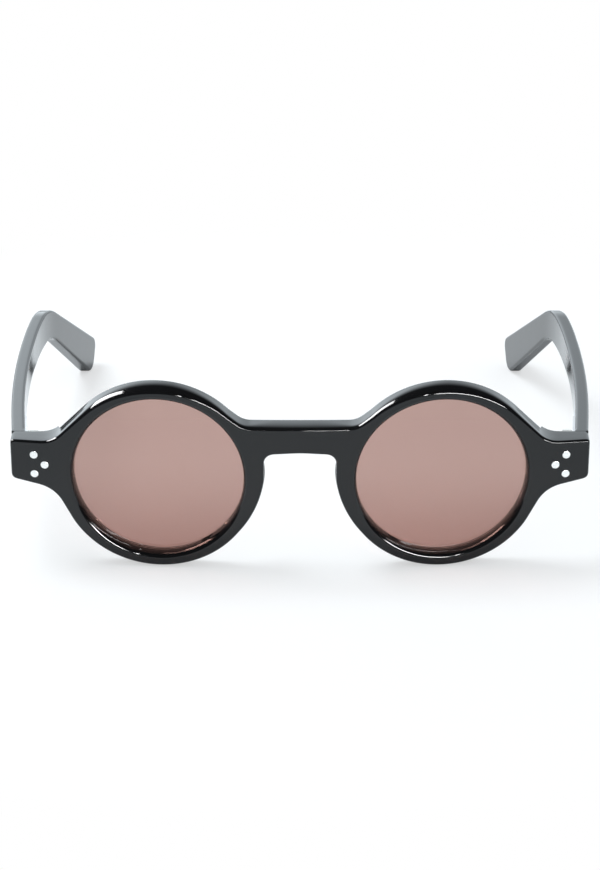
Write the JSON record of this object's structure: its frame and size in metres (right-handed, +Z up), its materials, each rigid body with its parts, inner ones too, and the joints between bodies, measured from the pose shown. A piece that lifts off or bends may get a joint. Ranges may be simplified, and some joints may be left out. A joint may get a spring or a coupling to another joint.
{
  "type": "sunglasses",
  "caption": "Round black acetate sunglasses with a keyhole bridge, rose-brown lenses, riveted end pieces and folding temples on barrel hinges.",
  "frame": {"origin": "on the table, under the middle of the glasses' overall box, standing as in use on a table with the temples open", "axes": "+Z up, +X to the wearer's left (the right side of the picture), +Y from the front back along the temples"},
  "size_m": [0.1458, 0.1458, 0.0486],
  "materials": {
    "front_acetate": "polished black cellulose acetate",
    "temple_acetate": "polished black cellulose acetate",
    "pad_acetate": "polished black acetate, cemented on",
    "tinted_lens": "polished, rose-brown gradient tint",
    "hinge_steel": "satin nickel silver",
    "rivet_steel": "ground flush and polished",
    "screw_steel": "plain steel",
    "core_steel": "plain steel, sealed in"
  },
  "bodies": {
    "front": {"front_frame": "front_acetate", "lens_left": "tinted_lens", "lens_right": "tinted_lens", "nose_pad_left": "pad_acetate", "nose_pad_right": "pad_acetate", "front_hinge_left": "hinge_steel", "front_hinge_right": "hinge_steel", "front_rivets_left": "rivet_steel", "front_rivets_right": "rivet_steel", "hinge_screw_left": "screw_steel", "hinge_screw_right": "screw_steel"},
    "left_temple": {"temple_left": "temple_acetate", "temple_core_left": "core_steel", "temple_hinge_left": "hinge_steel", "temple_rivets_left": "rivet_steel"},
    "right_temple": {"temple_right": "temple_acetate", "temple_core_right": "core_steel", "temple_hinge_right": "hinge_steel", "temple_rivets_right": "rivet_steel"}
  },
  "joints": [
    {"name": "left_fold", "type": "hinge", "parent": "front", "child": "left_temple", "pos_m": [0.065, -0.0603, 0.0279], "axis": [0, 0, 1], "range_deg": [0, 87]},
    {"name": "right_fold", "type": "hinge", "parent": "front", "child": "right_temple", "pos_m": [-0.065, -0.0603, 0.0279], "axis": [0, 0, -1], "range_deg": [0, 81]}
  ]
}
